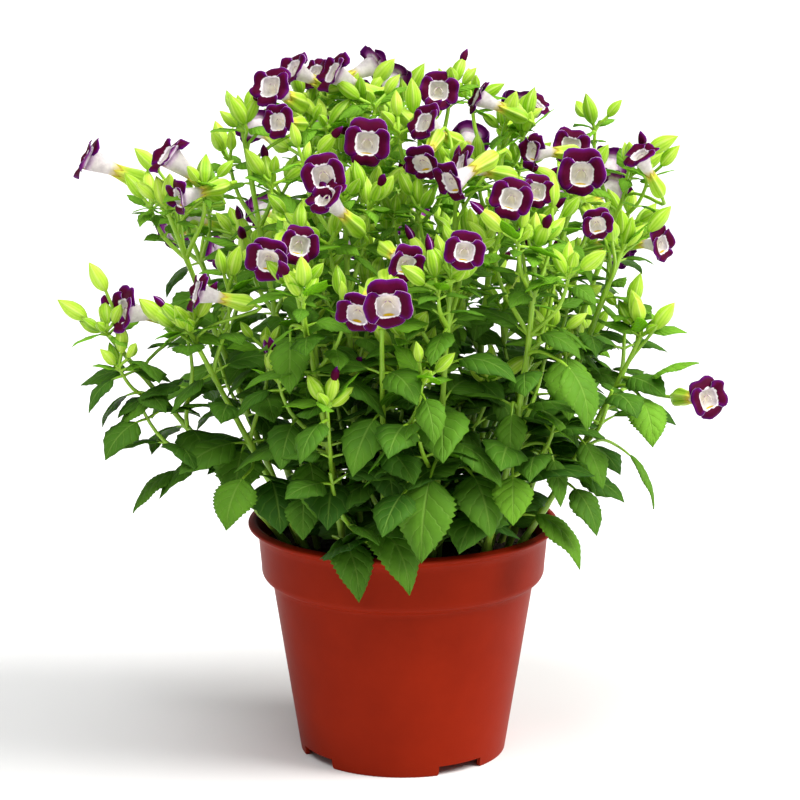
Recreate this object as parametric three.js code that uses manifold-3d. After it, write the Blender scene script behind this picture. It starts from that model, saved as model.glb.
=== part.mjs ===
// A potted torenia: a bushy flowering house plant in a moulded nursery pot. Millimetres, +Z up, the front is -Y.
// The origin is on the table, under the middle of the pot.
import * as THREE from "three";
import { mergeVertices } from "three/addons/utils/BufferGeometryUtils.js";
import Module from "manifold-3d";

// Pot: height, radii of the lip, rim band, shoulder and foot, and the wall's thickness.
const POT_HEIGHT = 120;
const LIP_RADIUS = 78;
const LIP_THICKNESS = 3;
const LIP_ROUNDING = 1;
const FLARE_BOTTOM = 111;
const FLARE_MIDDLE = 115.5;
const BAND_RADIUS = 71.5;
const BAND_BOTTOM = 98;
const BAND_DRAFT = 1;
const SHOULDER_RADIUS = 66;
const SHOULDER_Z = 89;
const SHOULDER_BULGE = 0.6;
const FOOT_RADIUS = 52;
const WALL = 2;
const FOOT_HEIGHT = 5;
const NOTCH_WIDTH = 26;
const NOTCH_DEPTH = 12;
const FOOT_TURN = -10;
const FOOT_COUNT = 4;
const DRAIN_RADIUS = 5;
const DRAIN_CIRCLE = 38;
const DRAIN_SEGMENTS = 16;
const POT_SEGMENTS = 48;

// Soil: its level at the wall and in the middle, and how deep the stems go in.
const SOIL_EDGE_Z = 106;
const SOIL_MIDDLE_Z = 109;
const STEM_DEPTH = 9;
const STEM_HOLE_RADIUS = 2.8;
const STEM_HOLE_SIDES = 6;
const SOIL_SEGMENTS = 36;
const GAP = 0.3;

// Stems, side shoots and flower stalks: half the thickness of each. What starts low on a stem is a side shoot.
const STEM_RADIUS = 1.9;
const SHOOT_RADIUS = 1.3;
const STALK_RADIUS = 0.8;
const STEM_SIDES = 5;
const STEM_STEPS = 9;
const STALK_SIDES = 4;
const STALK_STEPS = 4;
const SHOOT_BELOW = 0.7;
const STALK_END_RADIUS = 1.2;
const STALK_SINK = 1;
const STALK_REACH = 0.45;

// Flower: distances along its axis, back from the middle of its face.
const TUBE_LENGTH = 25;
const CALYX_MOUTH = 16;
const CALYX_BASE = 33;
const CALYX_RADIUS = 4.6;
const CALYX_WALL = 0.7;
const THROAT_RADIUS = 4.4;
const TUBE_END_RADIUS = 1.5;
const FLARE_DEPTH = 5;
const LIMB_RADIUS = 11.5;
const LIMB_RISE = 1;
const PETAL = 0.6;
const FLOWER_SIDES = 8;
const BUD_LENGTH = 18;
const BUD_RADIUS = 4;
const BUD_WIDEST = 0.62;
const BUD_NECK = 0.25;
const BUD_SIDES = 6;

// Leaf blade: its thickness, its stalk's share of the length, and the pairs of points along its edges.
const BLADE = 0.6;
const LEAF_STALK_SHARE = 0.2;
const LEAF_STALK_WIDTH = 1.6;
const LEAF_TAPER = 0.7;
const LEAF_STATIONS = 7;

// Main stems: where each leaves the soil, where it ends, and how far out its middle leans towards the tip.
const STEMS = [
  { base: [-47, -15], tip: [-142, -52, 225], lean: 0.5 },
  { base: [-41, -26], tip: [-101, -74, 231], lean: 0.5 },
  { base: [-48, -5], tip: [-113, -44, 284], lean: 0.5 },
  { base: [-41, -13], tip: [-78, -14, 318], lean: 0.5 },
  { base: [-27, -51], tip: [-49, -108, 256], lean: 0.3 },
  { base: [-31, 4], tip: [-48, 26, 320], lean: 0.4 },
  { base: [-17, -6], tip: [-21, 6, 328], lean: 0.3 },
  { base: [-20, -36], tip: [-28, -66, 292], lean: 0.5 },
  { base: [-9, -50], tip: [-10, -108, 240], lean: 0.5 },
  { base: [3, -16], tip: [8, -30, 320], lean: 0.5 },
  { base: [13, -51], tip: [22, -103, 262], lean: 0.5 },
  { base: [17, -29], tip: [25, -62, 294], lean: 0.5 },
  { base: [27, -7], tip: [50, 10, 314], lean: 0.5 },
  { base: [35, -43], tip: [62, -84, 272], lean: 0.9 },
  { base: [40, -24], tip: [82, -32, 290], lean: 0.5 },
  { base: [46, -2], tip: [112, 4, 292], lean: 0.5 },
  { base: [47, -29], tip: [115, -42, 222], lean: 0.6 },
  { base: [48, -16], tip: [106, -30, 262], lean: 0.5 },
  { base: [-42, 21], tip: [-112, 56, 262], lean: 0.5 },
  { base: [-24, 38], tip: [-62, 106, 240], lean: 0.6 },
  { base: [-8, 26], tip: [-20, 62, 306], lean: 0.4 },
  { base: [7, 45], tip: [12, 118, 232], lean: 0.6 },
  { base: [27, 35], tip: [66, 98, 258], lean: 0.6 },
  { base: [43, 17], tip: [112, 52, 250], lean: 0.6 },
];

// Flowers: the stem that bears each, the share of the stem where its stalk starts, the middle of its face,
// the way it faces (turn: 0 is the front, positive to the right, tilt: upwards) and its size.
const FLOWERS = [
  { stem: 3, at: 0.9, face: [-153, -20, 306], turn: -80, tilt: 25, size: 0.9 },
  { stem: 3, at: 0.98, face: [-116, -50, 312], turn: -70, tilt: 40, size: 0.9 },
  { stem: 1, at: 0.82, face: [-134, -50, 240], turn: -75, tilt: 10, size: 0.95 },
  { stem: 2, at: 0.95, face: [-97, -82, 252], turn: -75, tilt: 15, size: 0.9 },
  { stem: 4, at: 0.95, face: [-64, -22, 341], turn: -35, tilt: 25, size: 1 },
  { stem: 5, at: 0.97, face: [-62, -117, 274], turn: -15, tilt: -10, size: 1 },
  { stem: 7, at: 0.9, face: [-34, -2, 345], turn: -65, tilt: 30, size: 1 },
  { stem: 8, at: 0.98, face: [-17, -64, 320], turn: 0, tilt: 5, size: 1.05 },
  { stem: 8, at: 0.88, face: [-37, -92, 309], turn: -5, tilt: 0, size: 1 },
  { stem: 9, at: 0.95, face: [-7, -138, 257], turn: 0, tilt: -15, size: 1.1 },
  { stem: 11, at: 0.97, face: [28, -122, 279], turn: 5, tilt: 0, size: 0.95 },
  { stem: 10, at: 0.92, face: [17, -28, 340], turn: 5, tilt: 15, size: 0.9 },
  { stem: 14, at: 0.95, face: [50, -96, 299], turn: -10, tilt: 10, size: 0.95 },
  { stem: 15, at: 0.95, face: [86, -50, 303], turn: 5, tilt: 0, size: 1.15 },
  { stem: 16, at: 0.94, face: [114, -30, 309], turn: -15, tilt: -20, size: 0.9 },
  { stem: 17, at: 0.62, face: [154, 14, 178], turn: 30, tilt: 10, size: 1 },
  { stem: 23, at: 0.96, face: [80, 122, 268], turn: 150, tilt: 10, size: 1 },
  { stem: 22, at: 0.97, face: [4, 140, 248], turn: 180, tilt: -5, size: 1.05 },
  { stem: 20, at: 0.97, face: [-74, 128, 254], turn: -160, tilt: 5, size: 1 },
  { stem: 21, at: 0.96, face: [-26, 84, 322], turn: -170, tilt: 25, size: 1 },
];

// Closed calyxes: the stem that bears each, where its stalk starts, its pointed tip and the way it points.
const BUDS = [
  { stem: 1, at: 0.97, tip: [-166, -54, 243], turn: -80, tilt: 35 },
  { stem: 1, at: 0.9, tip: [-150, -58, 262], turn: -60, tilt: 60 },
  { stem: 2, at: 0.9, tip: [-126, -66, 246], turn: -70, tilt: 45 },
  { stem: 3, at: 0.85, tip: [-130, -26, 312], turn: -70, tilt: 45 },
  { stem: 4, at: 0.97, tip: [-84, -26, 338], turn: -60, tilt: 60 },
  { stem: 7, at: 0.97, tip: [-4, 8, 351], turn: 70, tilt: 50 },
  { stem: 10, at: 0.97, tip: [4, -32, 347], turn: -20, tilt: 85 },
  { stem: 13, at: 0.95, tip: [55, -14, 338], turn: 40, tilt: 65 },
  { stem: 13, at: 0.88, tip: [66, 16, 334], turn: 120, tilt: 50 },
  { stem: 15, at: 0.9, tip: [100, -14, 312], turn: 60, tilt: 60 },
  { stem: 16, at: 0.93, tip: [134, -14, 316], turn: 80, tilt: 30 },
  { stem: 17, at: 0.93, tip: [110, -44, 246], turn: -30, tilt: 70 },
  { stem: 17, at: 0.85, tip: [131, -46, 240], turn: 70, tilt: 55 },
  { stem: 18, at: 0.9, tip: [98, -60, 284], turn: -10, tilt: 50 },
  { stem: 18, at: 0.95, tip: [130, -28, 284], turn: 80, tilt: 50 },
  { stem: 19, at: 0.95, tip: [-132, 60, 282], turn: -110, tilt: 50 },
  { stem: 24, at: 0.95, tip: [130, 62, 270], turn: 110, tilt: 50 },
  { stem: 20, at: 0.9, tip: [-88, 118, 252], turn: -140, tilt: 40 },
  { stem: 22, at: 0.9, tip: [30, 128, 254], turn: 160, tilt: 45 },
];

// Largest leaves: where each joins its stem, the way it points, how steeply it rises and then droops,
// and its length and width.
const LEAVES = [
  { base: [-18, -62, 132], turn: 35, rise: 20, droop: 110, long: 52, wide: 26 },
  { base: [-34, -60, 127], turn: 25, rise: 15, droop: 110, long: 46, wide: 22 },
  { base: [15, -86, 170], turn: -15, rise: -25, droop: 70, long: 52, wide: 29 },
  { base: [57, -46, 134], turn: 60, rise: 15, droop: 100, long: 46, wide: 22 },
  { base: [116, -50, 200], turn: 65, rise: 45, droop: 40, long: 32, wide: 21 },
  { base: [113, -54, 197], turn: 20, rise: -10, droop: 80, long: 32, wide: 20 },
  { base: [72, -90, 222], turn: 40, rise: -10, droop: 90, long: 42, wide: 23 },
  { base: [106, -24, 163], turn: 80, rise: -30, droop: 60, long: 38, wide: 13 },
  { base: [-114, -50, 196], turn: -70, rise: -5, droop: 60, long: 32, wide: 16 },
  { base: [-104, -34, 154], turn: -75, rise: 0, droop: 70, long: 38, wide: 20 },
  { base: [-74, -70, 162], turn: -30, rise: -15, droop: 70, long: 34, wide: 24 },
  { base: [40, 90, 176], turn: 165, rise: 10, droop: 90, long: 48, wide: 28 },
  { base: [-30, 84, 168], turn: -165, rise: 10, droop: 90, long: 48, wide: 28 },
  { base: [-98, 40, 178], turn: -110, rise: 10, droop: 80, long: 42, wide: 24 },
];

const wasm = await Module();
wasm.setup();

function solid(geometry) {
  const bare = geometry.clone();
  bare.deleteAttribute("normal");
  bare.deleteAttribute("uv");
  const merged = mergeVertices(bare, 1e-4);
  const mesh = new wasm.Mesh({
    numProp: 3,
    vertProperties: merged.attributes.position.array,
    triVerts: new Uint32Array(merged.index.array),
  });
  return new wasm.Manifold(mesh);
}

function geometryOf(made) {
  const { vertProperties, triVerts } = made.getMesh();
  const geometry = new THREE.BufferGeometry();
  geometry.setAttribute("position", new THREE.BufferAttribute(vertProperties, 3));
  geometry.setIndex(new THREE.BufferAttribute(triVerts, 1));
  geometry.computeVertexNormals();
  return geometry;
}

const point = ([x, y, z]) => new THREE.Vector3(x, y, z);
const radians = THREE.MathUtils.degToRad;
const mix = THREE.MathUtils.lerp;

// A direction from its turn about Z and its tilt above the horizontal.
function direction(turn, tilt) {
  const flat = Math.cos(radians(tilt));
  return new THREE.Vector3(
    flat * Math.sin(radians(turn)),
    -flat * Math.cos(radians(turn)),
    Math.sin(radians(tilt)),
  );
}

// A solid turned about Z, from [radius, height] corners.
function turned(profile, segments) {
  const corners = profile.map(([radius, height]) => new THREE.Vector2(radius, height));
  return new THREE.LatheGeometry(corners, segments).rotateX(Math.PI / 2);
}

// A round-sectioned stalk with flat ends along a curve.
function tube(curve, radius, sides, steps) {
  const section = new THREE.Shape();
  for (let side = 0; side < sides; side += 1) {
    const angle = (side * 2 * Math.PI) / sides;
    const corner = [radius * Math.cos(angle), radius * Math.sin(angle)];
    if (side === 0) section.moveTo(...corner);
    else section.lineTo(...corner);
  }
  section.closePath();
  return solid(new THREE.ExtrudeGeometry(section, { steps, extrudePath: curve, bevelEnabled: false }));
}

function material(color, roughness) {
  return new THREE.MeshStandardMaterial({ color, roughness, metalness: 0 });
}

const plant = new THREE.Group();
const plastic = material(0x8e2a12, 0.45);
const earth = material(0x2b2019, 0.95);
const greenStem = material(0x8dbb3c, 0.55);
const greenLeaf = material(0x3f7d23, 0.5);
const purple = material(0x4d0b3f, 0.6);

function addMesh(name, geometry, finish) {
  const mesh = new THREE.Mesh(geometry, finish);
  mesh.name = name;
  plant.add(mesh);
  return mesh;
}

// Pot: one moulded wall with a shoulder, a rim band and a flared lip, standing on four feet of its own skirt.
const bodySlope = (SHOULDER_RADIUS - FOOT_RADIUS) / SHOULDER_Z;
const wallRadius = (height) => FOOT_RADIUS + bodySlope * height;
const FLOOR_TOP = FOOT_HEIGHT + WALL;
const shoulderCurve = [
  [mix(SHOULDER_RADIUS, BAND_RADIUS, SHOULDER_BULGE), mix(SHOULDER_Z, BAND_BOTTOM, 0.2)],
  [mix(SHOULDER_RADIUS, BAND_RADIUS, 0.9), mix(SHOULDER_Z, BAND_BOTTOM, SHOULDER_BULGE)],
];
const potProfile = [
  [0, FOOT_HEIGHT],
  [wallRadius(FOOT_HEIGHT) - WALL, FOOT_HEIGHT],
  [wallRadius(0) - WALL, 0],
  [FOOT_RADIUS, 0],
  [SHOULDER_RADIUS, SHOULDER_Z],
  ...shoulderCurve,
  [BAND_RADIUS, BAND_BOTTOM],
  [BAND_RADIUS + BAND_DRAFT, FLARE_BOTTOM],
  [mix(BAND_RADIUS, LIP_RADIUS, 0.5), FLARE_MIDDLE],
  [LIP_RADIUS, POT_HEIGHT - LIP_THICKNESS],
  [LIP_RADIUS, POT_HEIGHT - LIP_ROUNDING],
  [LIP_RADIUS - LIP_ROUNDING, POT_HEIGHT],
  [LIP_RADIUS - LIP_THICKNESS, POT_HEIGHT],
  [BAND_RADIUS + BAND_DRAFT - WALL, FLARE_BOTTOM],
  [BAND_RADIUS - WALL, BAND_BOTTOM],
  [SHOULDER_RADIUS - WALL, SHOULDER_Z],
  [wallRadius(FLOOR_TOP) - WALL, FLOOR_TOP],
  [0, FLOOR_TOP],
];
let pot = solid(turned(potProfile, POT_SEGMENTS));
for (let foot = 0; foot < FOOT_COUNT; foot += 1) {
  const turn = radians(FOOT_TURN + (foot + 0.5) * (360 / FOOT_COUNT));
  const notch = new THREE.BoxGeometry(NOTCH_WIDTH, NOTCH_DEPTH, 2 * FOOT_HEIGHT);
  notch.translate(0, -FOOT_RADIUS, 0);
  notch.rotateZ(turn);
  const drain = new THREE.CylinderGeometry(DRAIN_RADIUS, DRAIN_RADIUS, 3 * WALL, DRAIN_SEGMENTS);
  drain.rotateX(Math.PI / 2);
  drain.translate(0, -DRAIN_CIRCLE, mix(FOOT_HEIGHT, FLOOR_TOP, 0.5));
  drain.rotateZ(turn);
  pot = pot.subtract(solid(notch)).subtract(solid(drain));
}
addMesh("pot", geometryOf(pot), plastic);

// A stem rises from the soil to its tip. Its middle leans out by a share of the whole distance.
const stemCurves = STEMS.map(({ base, tip, lean }) => {
  const start = new THREE.Vector3(base[0], base[1], SOIL_EDGE_Z - STEM_DEPTH);
  const end = point(tip);
  const bend = start.clone().lerp(end, lean);
  bend.z = mix(start.z, end.z, 0.5);
  return new THREE.QuadraticBezierCurve3(start, bend, end);
});

// Potting soil: it fills the pot to a little under the lip, with a hole for each stem.
const soilGap = WALL + GAP;
const soilProfile = [
  [0, FLOOR_TOP + GAP],
  [wallRadius(FLOOR_TOP) - soilGap, FLOOR_TOP + GAP],
  [SHOULDER_RADIUS - soilGap, SHOULDER_Z],
  [BAND_RADIUS - soilGap, BAND_BOTTOM],
  [BAND_RADIUS + 0.5 * BAND_DRAFT - soilGap, SOIL_EDGE_Z],
  [0.5 * BAND_RADIUS, mix(SOIL_EDGE_Z, SOIL_MIDDLE_Z, 0.8)],
  [0, SOIL_MIDDLE_Z],
];
let soil = solid(turned(soilProfile, SOIL_SEGMENTS));
for (const curve of stemCurves) {
  const start = curve.getPoint(0);
  const slope = curve.getTangent(0);
  const holeStart = start.clone().addScaledVector(slope, -1);
  const holeEnd = start.clone().addScaledVector(slope, 3 * STEM_DEPTH);
  const hole = new THREE.LineCurve3(holeStart, holeEnd);
  soil = soil.subtract(tube(hole, STEM_HOLE_RADIUS, STEM_HOLE_SIDES, 1));
}
addMesh("potting_soil", geometryOf(soil), earth);

// Calyx: a ribbed green cup, open at its mouth, that narrows into the flower's stalk.
const tubeRadius = (back) => mix(THROAT_RADIUS, TUBE_END_RADIUS, back / TUBE_LENGTH);
const calyxProfile = [
  [0, -CALYX_BASE],
  [STALK_END_RADIUS, -CALYX_BASE],
  [0.85 * CALYX_RADIUS, -mix(CALYX_MOUTH, CALYX_BASE, 0.75)],
  [CALYX_RADIUS, -mix(CALYX_MOUTH, CALYX_BASE, 0.4)],
  [tubeRadius(CALYX_MOUTH) + 2 * GAP + CALYX_WALL, -CALYX_MOUTH],
  [tubeRadius(CALYX_MOUTH) + 2 * GAP, -CALYX_MOUTH],
  [tubeRadius(TUBE_LENGTH) + 2 * GAP, -TUBE_LENGTH - GAP],
  [0, -TUBE_LENGTH - 2 * GAP],
];
// Corolla: a thin trumpet that opens into a round face, with its back end closed in the calyx.
const corollaProfile = [
  [0, -TUBE_LENGTH],
  [tubeRadius(TUBE_LENGTH), -TUBE_LENGTH],
  [tubeRadius(CALYX_MOUTH), -CALYX_MOUTH],
  [tubeRadius(FLARE_DEPTH), -FLARE_DEPTH],
  [LIMB_RADIUS, LIMB_RISE],
  [LIMB_RADIUS - 1, LIMB_RISE + PETAL],
  [tubeRadius(FLARE_DEPTH) - PETAL, PETAL - FLARE_DEPTH],
  [0, -CALYX_MOUTH],
];

// Closed calyx: a slim pod, pointed at its tip.
const budProfile = [
  [0, -BUD_LENGTH],
  [STALK_END_RADIUS, -BUD_LENGTH],
  [BUD_RADIUS, -BUD_WIDEST * BUD_LENGTH],
  [0.7 * BUD_RADIUS, -BUD_NECK * BUD_LENGTH],
  [0, 0],
];

// A frame at a place whose Z points the way of a flower or bud, and whose X is level.
function facing({ face, tip, turn, tilt, size = 1 }) {
  const out = direction(turn, tilt);
  const level = direction(turn + 90, 0);
  const frame = new THREE.Matrix4().makeBasis(level, out.clone().cross(level), out);
  frame.scale(new THREE.Vector3(size, size, size));
  return frame.setPosition(point(face ?? tip));
}

// A stalk that leaves a stem along it and meets the base of a flower's calyx or a bud, with that calyx on its end.
function stalked(curve, item, profile, sides) {
  const frame = facing(item);
  const start = curve.getPoint(item.at);
  const end = new THREE.Vector3(0, 0, profile[0][1] + STALK_SINK).applyMatrix4(frame);
  const reach = STALK_REACH * start.distanceTo(end);
  const leave = curve.getTangent(item.at).multiplyScalar(reach).add(start);
  const arrive = direction(item.turn, item.tilt).multiplyScalar(-reach).add(end);
  const stalk = new THREE.CubicBezierCurve3(start, leave, arrive, end);
  const radius = item.at < SHOOT_BELOW ? SHOOT_RADIUS : STALK_RADIUS;
  const pod = solid(turned(profile, sides).applyMatrix4(frame));
  return tube(stalk, radius, STALK_SIDES, STALK_STEPS).add(pod);
}

// Stems: the main stem, its stalks and their calyxes grew as one piece.
STEMS.forEach((_, index) => {
  const curve = stemCurves[index];
  const borne = ({ stem }) => stem === index + 1;
  let stem = tube(curve, STEM_RADIUS, STEM_SIDES, STEM_STEPS);
  for (const flower of FLOWERS.filter(borne)) {
    stem = stem.add(stalked(curve, flower, calyxProfile, FLOWER_SIDES));
  }
  for (const bud of BUDS.filter(borne)) {
    stem = stem.add(stalked(curve, bud, budProfile, BUD_SIDES));
  }
  addMesh(`stem_${String(index + 1).padStart(2, "0")}`, geometryOf(stem), greenStem);
});

// Flowers: each is one thin corolla, seated in its calyx with a small gap.
FLOWERS.forEach((flower, index) => {
  const name = `flower_${String(index + 1).padStart(2, "0")}`;
  const mesh = addMesh(name, turned(corollaProfile, FLOWER_SIDES), purple);
  facing(flower).decompose(mesh.position, mesh.quaternion, mesh.scale);
});

// Half the width of a leaf at a share of its length: a narrow stalk, then an egg-shaped blade with a pointed tip.
function halfWidth(share, wide) {
  const blade = Math.max(0, (share - LEAF_STALK_SHARE) / (1 - LEAF_STALK_SHARE));
  return Math.max(LEAF_STALK_WIDTH / 2, (wide / 2) * Math.sin(Math.PI * blade ** LEAF_TAPER));
}

// Leaves: a flat blade is cut out and then bent down along an arc in the plane of its turn.
LEAVES.forEach(({ base, turn, rise, droop, long, wide }, index) => {
  const outline = new THREE.Shape();
  outline.moveTo(0, -halfWidth(0, wide));
  for (let station = 1; station < LEAF_STATIONS; station += 1) {
    const share = station / LEAF_STATIONS;
    outline.lineTo(share, -halfWidth(share, wide));
  }
  outline.lineTo(1, 0);
  for (let station = LEAF_STATIONS - 1; station >= 0; station -= 1) {
    const share = station / LEAF_STATIONS;
    outline.lineTo(share, halfWidth(share, wide));
  }
  outline.closePath();
  const blade = new THREE.ExtrudeGeometry(outline, { depth: BLADE, bevelEnabled: false });
  const ahead = direction(turn, 0);
  const side = direction(turn + 90, 0);
  const up = new THREE.Vector3(0, 0, 1);
  const places = blade.attributes.position;
  const bend = radians(droop);
  const first = radians(rise);
  for (let corner = 0; corner < places.count; corner += 1) {
    const share = places.getX(corner);
    const slope = first - bend * share;
    const forward = (long * (Math.sin(first) - Math.sin(slope))) / bend;
    const height = (long * (Math.cos(slope) - Math.cos(first))) / bend;
    const tangent = ahead.clone().multiplyScalar(Math.cos(slope)).addScaledVector(up, Math.sin(slope));
    const place = point(base).addScaledVector(ahead, forward).addScaledVector(up, height);
    place.addScaledVector(side, places.getY(corner));
    place.addScaledVector(side.clone().cross(tangent), -places.getZ(corner));
    places.setXYZ(corner, place.x, place.y, place.z);
  }
  addMesh(`leaf_${String(index + 1).padStart(2, "0")}`, blade, greenLeaf);
});

export default plant;
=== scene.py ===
import random
from math import asin, atan2, ceil, cos, degrees, exp, pi, radians, sin, tau

import bmesh
import bpy
from mathutils import Matrix, Vector, noise
from mathutils.geometry import interpolate_bezier


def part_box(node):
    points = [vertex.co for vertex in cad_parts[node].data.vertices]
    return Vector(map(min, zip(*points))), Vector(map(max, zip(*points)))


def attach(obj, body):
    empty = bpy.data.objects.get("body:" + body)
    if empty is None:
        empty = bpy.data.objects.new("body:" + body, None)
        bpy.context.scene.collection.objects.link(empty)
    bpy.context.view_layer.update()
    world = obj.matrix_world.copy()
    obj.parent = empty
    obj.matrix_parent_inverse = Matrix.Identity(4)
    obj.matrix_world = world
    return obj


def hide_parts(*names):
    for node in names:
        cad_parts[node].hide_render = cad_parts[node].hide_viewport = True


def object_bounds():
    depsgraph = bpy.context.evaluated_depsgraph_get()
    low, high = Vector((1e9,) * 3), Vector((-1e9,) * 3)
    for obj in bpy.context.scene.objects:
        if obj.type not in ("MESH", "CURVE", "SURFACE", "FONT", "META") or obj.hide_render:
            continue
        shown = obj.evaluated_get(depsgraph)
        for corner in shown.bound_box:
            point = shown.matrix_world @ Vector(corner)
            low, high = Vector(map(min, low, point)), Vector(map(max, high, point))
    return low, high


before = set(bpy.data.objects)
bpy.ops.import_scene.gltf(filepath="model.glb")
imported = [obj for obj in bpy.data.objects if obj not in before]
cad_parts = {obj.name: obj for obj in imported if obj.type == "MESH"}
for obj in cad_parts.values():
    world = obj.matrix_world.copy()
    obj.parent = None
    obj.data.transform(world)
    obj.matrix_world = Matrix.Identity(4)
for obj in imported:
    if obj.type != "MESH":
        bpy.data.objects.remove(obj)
cad_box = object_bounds()

# Shapes are modelled in millimetres and brought to the frame's metres when a piece is finished.
MM = 0.001
SEED = 11


# Camera: a long lens, a little above the pot's rim, looking down on the plant from its front.
low, high = (Vector(corner) for corner in cad_box)
aim = Vector((-0.0015, 0, (low.z + high.z) / 2 + 0.003))
eye = aim + Vector((0, -1.6, 0.377))
camera_data = bpy.data.cameras.new("camera")
camera_data.lens = 148
camera_data.sensor_width = 36
camera = bpy.data.objects.new("camera", camera_data)
camera.location = eye
camera.rotation_euler = (aim - eye).to_track_quat("-Z", "Y").to_euler()
bpy.context.scene.collection.objects.link(camera)
bpy.context.scene.camera = camera


# Pot: one injection-moulded piece of red-brown polypropylene. Its wall tapers down to a skirt cut into four
# feet, and steps out over a shoulder to the rim band and the flared lip, which stiffen the top.
POT_WALL = 2.0
SHOULDER = (66.0, 89.0)
BAND_BOTTOM = (71.5, 98.0)
FOOT_HEIGHT = 5.0
POT_STEPS = 144
FOOT_TURN = -10.0
NOTCH_ANGLE = 27.5

pot_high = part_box("pot")[1] / MM
POT_HEIGHT = pot_high.z
LIP = pot_high.x
FOOT = 52.0


def wall_radius(height):
    return FOOT + (SHOULDER[0] - FOOT) * height / SHOULDER[1]


def new_material(name):
    made = bpy.data.materials.new(name)
    made.use_nodes = True
    nodes = made.node_tree.nodes
    return made, nodes, made.node_tree.links, nodes["Principled BSDF"]


def node(nodes, kind, **settings):
    made = nodes.new(kind)
    for key, value in settings.items():
        if key in made.inputs:
            made.inputs[key].default_value = value
        else:
            setattr(made, key, value)
    return made


def is_socket(value):
    return hasattr(value, "links")


def tree_of(*values):
    """The node tree that the first socket among some values belongs to."""
    return next(value.id_data for value in values if is_socket(value))


def math_node(operation, first, second=0.0):
    tree = tree_of(first, second)
    made = tree.nodes.new("ShaderNodeMath")
    made.operation = operation
    for socket, value in zip(made.inputs, (first, second)):
        if is_socket(value):
            tree.links.new(value, socket)
        else:
            socket.default_value = value
    return made.outputs[0]


def ramp(factor, stops):
    tree = tree_of(factor)
    made = tree.nodes.new("ShaderNodeValToRGB")
    elements = made.color_ramp.elements
    while len(elements) < len(stops):
        elements.new(0.5)
    for element, (position, _) in zip(elements, stops):
        element.position = position
    for element, (_, colour) in zip(elements, stops):
        element.color = (*colour, 1)
    tree.links.new(factor, made.inputs[0])
    return made.outputs[0]


def blend_colours(factor, first, second, kind="MIX"):
    """Sockets 0, 6 and 7 of a Mix node are the factor and the two colours when it mixes colours."""
    tree = tree_of(factor, first, second)
    made = tree.nodes.new("ShaderNodeMix")
    made.data_type = "RGBA"
    made.blend_type = kind
    for index, value in ((0, factor), (6, first), (7, second)):
        if is_socket(value):
            tree.links.new(value, made.inputs[index])
        else:
            made.inputs[index].default_value = (*value, 1) if index else value
    return made.outputs[2]


def fade(value, start, end, first=0.0, last=1.0):
    """A value brought from the range start to end to the range first to last, and held there outside it."""
    tree = tree_of(value)
    span = {"From Min": start, "From Max": end, "To Min": first, "To Max": last}
    made = node(tree.nodes, "ShaderNodeMapRange", **span)
    tree.links.new(value, made.inputs["Value"])
    return made.outputs[0]


def add_bump(shader, height, strength, distance):
    tree = tree_of(height)
    made = node(tree.nodes, "ShaderNodeBump", Strength=strength, Distance=distance)
    tree.links.new(height, made.inputs["Height"])
    tree.links.new(made.outputs[0], shader.inputs["Normal"])


def finish_piece(bm, name, materials, stands_for=(), smooth_angle=180):
    bmesh.ops.scale(bm, vec=(MM, MM, MM), verts=bm.verts)
    mesh = bpy.data.meshes.new(name)
    bm.to_mesh(mesh)
    bm.free()
    for made in materials:
        mesh.materials.append(made)
    mesh.shade_smooth()
    if smooth_angle < 180:
        mesh.set_sharp_from_angle(angle=radians(smooth_angle))
    piece = bpy.data.objects.new(name, mesh)
    bpy.context.scene.collection.objects.link(piece)
    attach(piece, "root")
    if stands_for:
        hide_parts(*stands_for)
    return piece


def arc(centre, radius, start, end, count):
    angles = [radians(start + (end - start) * step / count) for step in range(count + 1)]
    return [(centre[0] + radius * cos(a), centre[1] + radius * sin(a)) for a in angles]


def pot_profile():
    lip_top = POT_HEIGHT
    outside = [
        (wall_radius(FOOT_HEIGHT), FOOT_HEIGHT),
        (wall_radius(30), 30),
        (wall_radius(58), 58),
        (wall_radius(86), 86),
        (SHOULDER[0] + 0.1, 88.4),
        (SHOULDER[0] + 0.9, 89.3),
        *arc((BAND_BOTTOM[0] - 5.2, 94.6), 5.0, -68, -4, 6),
        BAND_BOTTOM,
        (BAND_BOTTOM[0] + 0.6, 104),
        (BAND_BOTTOM[0] + 1.2, 111),
        (BAND_BOTTOM[0] + 2.0, 114.2),
        (BAND_BOTTOM[0] + 3.9, 116.0),
        (LIP - 1.1, 116.7),
    ]
    lip = arc((LIP - 1.2, lip_top - 1.9), 1.2, -60, 60, 5) + arc((LIP - 3.0, lip_top - 1.5), 1.5, 60, 150, 4)
    inside = [
        (BAND_BOTTOM[0] + 0.6, 112.5),
        (BAND_BOTTOM[0] - POT_WALL + 0.4, 108),
        (BAND_BOTTOM[0] - POT_WALL, 99),
        (SHOULDER[0] - POT_WALL + 1.5, 92),
        (SHOULDER[0] - POT_WALL, 89),
        (wall_radius(40) - POT_WALL, 40),
        (wall_radius(9) - POT_WALL, 9),
        (wall_radius(7) - POT_WALL - 1.6, 7),
        (0, 7),
    ]
    return [(0, FOOT_HEIGHT), (wall_radius(FOOT_HEIGHT) - POT_WALL, FOOT_HEIGHT), *outside, *lip, *inside]


def turn_of(way):
    """The turn about Z, in degrees, of a direction: 0 is the front and 90 the right."""
    return degrees(atan2(way.x, -way.y))


def in_foot(face):
    centre = face.calc_center_median()
    if abs(centre.z - FOOT_HEIGHT) > 0.01 or Vector((centre.x, centre.y)).length < FOOT - 2 * POT_WALL:
        return False
    share = ((turn_of(centre) - FOOT_TURN + 45) % 90) - 45
    return abs(share) < (90 - NOTCH_ANGLE) / 2


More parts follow.
